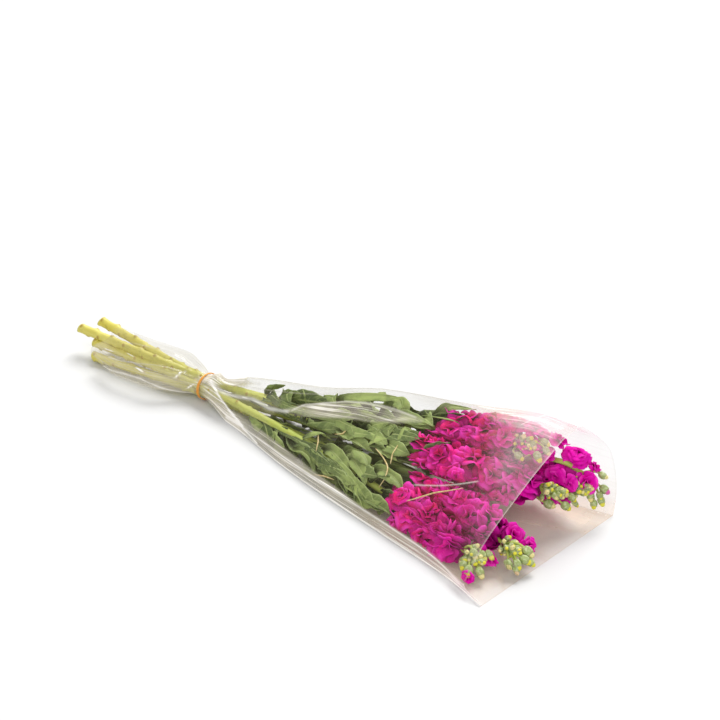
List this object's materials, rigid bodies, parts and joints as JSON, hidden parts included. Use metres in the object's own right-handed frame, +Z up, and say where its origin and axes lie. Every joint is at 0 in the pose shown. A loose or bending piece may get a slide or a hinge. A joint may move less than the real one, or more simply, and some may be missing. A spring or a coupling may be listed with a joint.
{
  "type": "wrapped bunch of stock flowers",
  "caption": "Bunch of cut double stock flowers with leaves and bud tips, lying in an open clear film sleeve that a rubber band gathers round the stems.",
  "frame": {"origin": "on the surface under the middle of the bunch's box", "axes": "+X along the bunch from the cut ends to the flowers, +Y across it away from the near fold of the sleeve, +Z up"},
  "size_m": [0.6304, 0.2056, 0.1105],
  "materials": {
    "greenery": "matte grey-green leaves and paler yellow-green stems",
    "petals": "soft magenta petals",
    "film": "clear glossy film",
    "band": "matte"
  },
  "bodies": {
    "root": {"stem_1": "greenery", "stem_2": "greenery", "stem_3": "greenery", "stem_4": "greenery", "stem_5": "greenery", "flowers_1": "petals", "flowers_2": "petals", "flowers_3": "petals", "flowers_4": "petals", "flowers_5": "petals", "sleeve": "film", "rubber_band": "band"}
  },
  "joints": []
}
